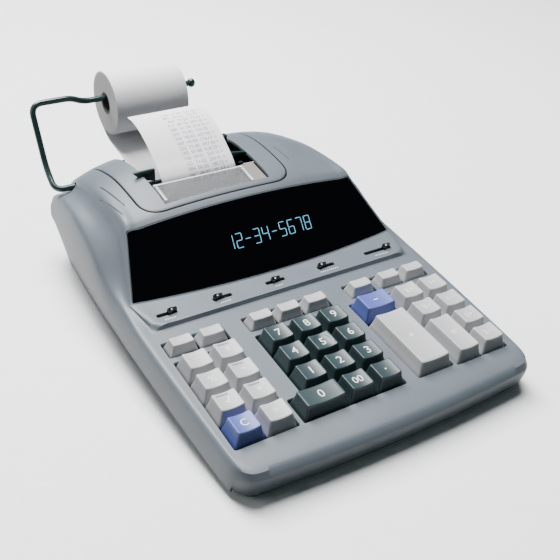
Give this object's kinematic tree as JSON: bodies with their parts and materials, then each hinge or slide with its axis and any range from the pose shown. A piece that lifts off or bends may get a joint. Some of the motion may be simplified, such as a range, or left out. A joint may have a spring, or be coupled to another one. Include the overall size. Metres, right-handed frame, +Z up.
{
  "type": "printing desk calculator",
  "caption": "Desk calculator with a built-in receipt printer: sloping keyboard, slide switches, curved dark display, paper roll on a bent wire arm.",
  "frame": {"origin": "Middle of the bounding box, on the table under the feet.", "axes": "+Y points from the user to the rear, +X to the user's right, +Z up; the feet rest on z = 0."},
  "size_m": [0.22, 0.3398, 0.1348],
  "materials": {
    "casing_grey": "fine satin texture",
    "casing_light": "satin",
    "key_light": "satin",
    "key_dark": "satin",
    "key_blue": "satin",
    "gloss_black": "gloss",
    "gloss_dark": "semi gloss",
    "dark_glass": "gloss",
    "clear_plastic": "clear",
    "rubber_black": "matte",
    "arm_green": "semi gloss",
    "paper_white": "matte",
    "ink_purple": "felt",
    "board_green": "satin",
    "brass": "machined",
    "steel": "drawn"
  },
  "bodies": {
    "casing": {"upper_casing": "casing_grey", "bottom_casing": "casing_light", "front_foot_strip": "rubber_black", "rear_foot_strip": "rubber_black", "display_window": "gloss_black", "display_tube": "dark_glass", "printer_frame": "gloss_dark", "feed_motor": "steel", "key_mat": "rubber_black", "main_board": "board_green", "paper_tape": "paper_white"},
    "key_left_small_a": {"key_left_small_a": "key_light"},
    "key_left_a1": {"key_left_a1": "key_light"},
    "key_left_a2": {"key_left_a2": "key_light"},
    "key_left_a3": {"key_left_a3": "key_light"},
    "key_left_a4": {"key_left_a4": "key_blue"},
    "key_left_small_b": {"key_left_small_b": "key_light"},
    "key_left_b1": {"key_left_b1": "key_light"},
    "key_left_b2": {"key_left_b2": "key_light"},
    "key_left_b3": {"key_left_b3": "key_light"},
    "key_left_b4": {"key_left_b4": "key_light"},
    "key_middle_small_1": {"key_middle_small_1": "key_light"},
    "key_middle_small_2": {"key_middle_small_2": "key_light"},
    "key_middle_small_3": {"key_middle_small_3": "key_light"},
    "key_digit_0": {"key_digit_0": "key_dark"},
    "key_digit_1": {"key_digit_1": "key_dark"},
    "key_digit_2": {"key_digit_2": "key_dark"},
    "key_digit_3": {"key_digit_3": "key_dark"},
    "key_digit_4": {"key_digit_4": "key_dark"},
    "key_digit_5": {"key_digit_5": "key_dark"},
    "key_digit_6": {"key_digit_6": "key_dark"},
    "key_digit_7": {"key_digit_7": "key_dark"},
    "key_digit_8": {"key_digit_8": "key_dark"},
    "key_digit_9": {"key_digit_9": "key_dark"},
    "key_digit_00": {"key_digit_00": "key_dark"},
    "key_decimal_point": {"key_decimal_point": "key_dark"},
    "key_right_small_1": {"key_right_small_1": "key_light"},
    "key_right_small_2": {"key_right_small_2": "key_light"},
    "key_right_small_3": {"key_right_small_3": "key_light"},
    "key_minus": {"key_minus": "key_blue"},
    "key_plus": {"key_plus": "key_light"},
    "key_right_b1": {"key_right_b1": "key_light"},
    "key_right_b2": {"key_right_b2": "key_light"},
    "key_total": {"key_total": "key_light"},
    "key_right_c1": {"key_right_c1": "key_light"},
    "key_right_c2": {"key_right_c2": "key_light"},
    "key_right_c3": {"key_right_c3": "key_light"},
    "key_right_c4": {"key_right_c4": "key_light"},
    "switch_power": {"switch_power": "gloss_black"},
    "switch_mode": {"switch_mode": "gloss_black"},
    "switch_rounding": {"switch_rounding": "gloss_black"},
    "switch_rate": {"switch_rate": "gloss_black"},
    "switch_decimals": {"switch_decimals": "gloss_black"},
    "paper_arm": {"paper_arm": "arm_green"},
    "paper_roll": {"paper_roll": "paper_white"},
    "platen_roller": {"platen_roller": "rubber_black"},
    "motor_pinion": {"motor_pinion": "brass"},
    "ink_roller": {"ink_roller": "ink_purple"},
    "printer_cover": {"printer_cover": "casing_grey", "tear_bar": "clear_plastic"}
  },
  "joints": [
    {"name": "key_left_small_a_press", "type": "slide", "parent": "casing", "child": "key_left_small_a", "axis": [0, 0.1219, -0.9925], "range_m": [0, 0.0035], "stiffness_N_per_m": 150, "springref_m": -0.0015},
    {"name": "key_left_a1_press", "type": "slide", "parent": "casing", "child": "key_left_a1", "axis": [0, 0.1219, -0.9925], "range_m": [0, 0.0035], "stiffness_N_per_m": 150, "springref_m": -0.0015},
    {"name": "key_left_a2_press", "type": "slide", "parent": "casing", "child": "key_left_a2", "axis": [0, 0.1219, -0.9925], "range_m": [0, 0.0035], "stiffness_N_per_m": 150, "springref_m": -0.0015},
    {"name": "key_left_a3_press", "type": "slide", "parent": "casing", "child": "key_left_a3", "axis": [0, 0.1219, -0.9925], "range_m": [0, 0.0035], "stiffness_N_per_m": 150, "springref_m": -0.0015},
    {"name": "key_left_a4_press", "type": "slide", "parent": "casing", "child": "key_left_a4", "axis": [0, 0.1219, -0.9925], "range_m": [0, 0.0035], "stiffness_N_per_m": 150, "springref_m": -0.0015},
    {"name": "key_left_small_b_press", "type": "slide", "parent": "casing", "child": "key_left_small_b", "axis": [0, 0.1219, -0.9925], "range_m": [0, 0.0035], "stiffness_N_per_m": 150, "springref_m": -0.0015},
    {"name": "key_left_b1_press", "type": "slide", "parent": "casing", "child": "key_left_b1", "axis": [0, 0.1219, -0.9925], "range_m": [0, 0.0035], "stiffness_N_per_m": 150, "springref_m": -0.0015},
    {"name": "key_left_b2_press", "type": "slide", "parent": "casing", "child": "key_left_b2", "axis": [0, 0.1219, -0.9925], "range_m": [0, 0.0035], "stiffness_N_per_m": 150, "springref_m": -0.0015},
    {"name": "key_left_b3_press", "type": "slide", "parent": "casing", "child": "key_left_b3", "axis": [0, 0.1219, -0.9925], "range_m": [0, 0.0035], "stiffness_N_per_m": 150, "springref_m": -0.0015},
    {"name": "key_left_b4_press", "type": "slide", "parent": "casing", "child": "key_left_b4", "axis": [0, 0.1219, -0.9925], "range_m": [0, 0.0035], "stiffness_N_per_m": 150, "springref_m": -0.0015},
    {"name": "key_middle_small_1_press", "type": "slide", "parent": "casing", "child": "key_middle_small_1", "axis": [0, 0.1219, -0.9925], "range_m": [0, 0.0035], "stiffness_N_per_m": 150, "springref_m": -0.0015},
    {"name": "key_middle_small_2_press", "type": "slide", "parent": "casing", "child": "key_middle_small_2", "axis": [0, 0.1219, -0.9925], "range_m": [0, 0.0035], "stiffness_N_per_m": 150, "springref_m": -0.0015},
    {"name": "key_middle_small_3_press", "type": "slide", "parent": "casing", "child": "key_middle_small_3", "axis": [0, 0.1219, -0.9925], "range_m": [0, 0.0035], "stiffness_N_per_m": 150, "springref_m": -0.0015},
    {"name": "key_digit_0_press", "type": "slide", "parent": "casing", "child": "key_digit_0", "axis": [0, 0.1219, -0.9925], "range_m": [0, 0.0035], "stiffness_N_per_m": 150, "springref_m": -0.0015},
    {"name": "key_digit_1_press", "type": "slide", "parent": "casing", "child": "key_digit_1", "axis": [0, 0.1219, -0.9925], "range_m": [0, 0.0035], "stiffness_N_per_m": 150, "springref_m": -0.0015},
    {"name": "key_digit_2_press", "type": "slide", "parent": "casing", "child": "key_digit_2", "axis": [0, 0.1219, -0.9925], "range_m": [0, 0.0035], "stiffness_N_per_m": 150, "springref_m": -0.0015},
    {"name": "key_digit_3_press", "type": "slide", "parent": "casing", "child": "key_digit_3", "axis": [0, 0.1219, -0.9925], "range_m": [0, 0.0035], "stiffness_N_per_m": 150, "springref_m": -0.0015},
    {"name": "key_digit_4_press", "type": "slide", "parent": "casing", "child": "key_digit_4", "axis": [0, 0.1219, -0.9925], "range_m": [0, 0.0035], "stiffness_N_per_m": 150, "springref_m": -0.0015},
    {"name": "key_digit_5_press", "type": "slide", "parent": "casing", "child": "key_digit_5", "axis": [0, 0.1219, -0.9925], "range_m": [0, 0.0035], "stiffness_N_per_m": 150, "springref_m": -0.0015},
    {"name": "key_digit_6_press", "type": "slide", "parent": "casing", "child": "key_digit_6", "axis": [0, 0.1219, -0.9925], "range_m": [0, 0.0035], "stiffness_N_per_m": 150, "springref_m": -0.0015},
    {"name": "key_digit_7_press", "type": "slide", "parent": "casing", "child": "key_digit_7", "axis": [0, 0.1219, -0.9925], "range_m": [0, 0.0035], "stiffness_N_per_m": 150, "springref_m": -0.0015},
    {"name": "key_digit_8_press", "type": "slide", "parent": "casing", "child": "key_digit_8", "axis": [0, 0.1219, -0.9925], "range_m": [0, 0.0035], "stiffness_N_per_m": 150, "springref_m": -0.0015},
    {"name": "key_digit_9_press", "type": "slide", "parent": "casing", "child": "key_digit_9", "axis": [0, 0.1219, -0.9925], "range_m": [0, 0.0035], "stiffness_N_per_m": 150, "springref_m": -0.0015},
    {"name": "key_digit_00_press", "type": "slide", "parent": "casing", "child": "key_digit_00", "axis": [0, 0.1219, -0.9925], "range_m": [0, 0.0035], "stiffness_N_per_m": 150, "springref_m": -0.0015},
    {"name": "key_decimal_point_press", "type": "slide", "parent": "casing", "child": "key_decimal_point", "axis": [0, 0.1219, -0.9925], "range_m": [0, 0.0035], "stiffness_N_per_m": 150, "springref_m": -0.0015},
    {"name": "key_right_small_1_press", "type": "slide", "parent": "casing", "child": "key_right_small_1", "axis": [0, 0.1219, -0.9925], "range_m": [0, 0.0035], "stiffness_N_per_m": 150, "springref_m": -0.0015},
    {"name": "key_right_small_2_press", "type": "slide", "parent": "casing", "child": "key_right_small_2", "axis": [0, 0.1219, -0.9925], "range_m": [0, 0.0035], "stiffness_N_per_m": 150, "springref_m": -0.0015},
    {"name": "key_right_small_3_press", "type": "slide", "parent": "casing", "child": "key_right_small_3", "axis": [0, 0.1219, -0.9925], "range_m": [0, 0.0035], "stiffness_N_per_m": 150, "springref_m": -0.0015},
    {"name": "key_minus_press", "type": "slide", "parent": "casing", "child": "key_minus", "axis": [0, 0.1219, -0.9925], "range_m": [0, 0.0035], "stiffness_N_per_m": 150, "springref_m": -0.0015},
    {"name": "key_plus_press", "type": "slide", "parent": "casing", "child": "key_plus", "axis": [0, 0.1219, -0.9925], "range_m": [0, 0.0035], "stiffness_N_per_m": 150, "springref_m": -0.0015},
    {"name": "key_right_b1_press", "type": "slide", "parent": "casing", "child": "key_right_b1", "axis": [0, 0.1219, -0.9925], "range_m": [0, 0.0035], "stiffness_N_per_m": 150, "springref_m": -0.0015},
    {"name": "key_right_b2_press", "type": "slide", "parent": "casing", "child": "key_right_b2", "axis": [0, 0.1219, -0.9925], "range_m": [0, 0.0035], "stiffness_N_per_m": 150, "springref_m": -0.0015},
    {"name": "key_total_press", "type": "slide", "parent": "casing", "child": "key_total", "axis": [0, 0.1219, -0.9925], "range_m": [0, 0.0035], "stiffness_N_per_m": 150, "springref_m": -0.0015},
    {"name": "key_right_c1_press", "type": "slide", "parent": "casing", "child": "key_right_c1", "axis": [0, 0.1219, -0.9925], "range_m": [0, 0.0035], "stiffness_N_per_m": 150, "springref_m": -0.0015},
    {"name": "key_right_c2_press", "type": "slide", "parent": "casing", "child": "key_right_c2", "axis": [0, 0.1219, -0.9925], "range_m": [0, 0.0035], "stiffness_N_per_m": 150, "springref_m": -0.0015},
    {"name": "key_right_c3_press", "type": "slide", "parent": "casing", "child": "key_right_c3", "axis": [0, 0.1219, -0.9925], "range_m": [0, 0.0035], "stiffness_N_per_m": 150, "springref_m": -0.0015},
    {"name": "key_right_c4_press", "type": "slide", "parent": "casing", "child": "key_right_c4", "axis": [0, 0.1219, -0.9925], "range_m": [0, 0.0035], "stiffness_N_per_m": 150, "springref_m": -0.0015},
    {"name": "switch_power_slide", "type": "slide", "parent": "casing", "child": "switch_power", "axis": [1, 0, 0], "range_m": [-0.00684, 0]},
    {"name": "switch_mode_slide", "type": "slide", "parent": "casing", "child": "switch_mode", "axis": [1, 0, 0], "range_m": [0, 0.00684]},
    {"name": "switch_rounding_slide", "type": "slide", "parent": "casing", "child": "switch_rounding", "axis": [1, 0, 0], "range_m": [-0.00363, 0.00363]},
    {"name": "switch_rate_slide", "type": "slide", "parent": "casing", "child": "switch_rate", "axis": [1, 0, 0], "range_m": [0, 0.00684]},
    {"name": "switch_decimals_slide", "type": "slide", "parent": "casing", "child": "switch_decimals", "axis": [1, 0, 0], "range_m": [-0.01581, 0]},
    {"name": "paper_arm_fold", "type": "hinge", "parent": "casing", "child": "paper_arm", "pos_m": [-0.09188, 0.11063, 0.06774], "axis": [1, 0, 0], "range_deg": [0, 12]},
    {"name": "paper_roll_turn", "type": "hinge", "parent": "paper_arm", "child": "paper_roll", "pos_m": [-0.01763, 0.14589, 0.11128], "axis": [1, 0, 0], "continuous": true},
    {"name": "platen_turn", "type": "hinge", "parent": "casing", "child": "platen_roller", "pos_m": [-0.01709, 0.06149, 0.06197], "axis": [1, 0, 0], "continuous": true},
    {"name": "pinion_turn", "type": "hinge", "parent": "casing", "child": "motor_pinion", "pos_m": [0.02778, 0.06731, 0.05054], "axis": [1, 0, 0], "continuous": true},
    {"name": "ink_roller_turn", "type": "hinge", "parent": "casing", "child": "ink_roller", "pos_m": [-0.01709, 0.04119, 0.05876], "axis": [1, 0, 0], "continuous": true},
    {"name": "printer_cover_lift", "type": "slide", "parent": "casing", "child": "printer_cover", "axis": [0, 0, 1], "range_m": [0, 0.03]}
  ],
  "couplings": [
    {"joint": "platen_turn", "follows": "paper_roll_turn", "ratio": 3.6667},
    {"joint": "pinion_turn", "follows": "paper_roll_turn", "ratio": -7.3333}
  ]
}
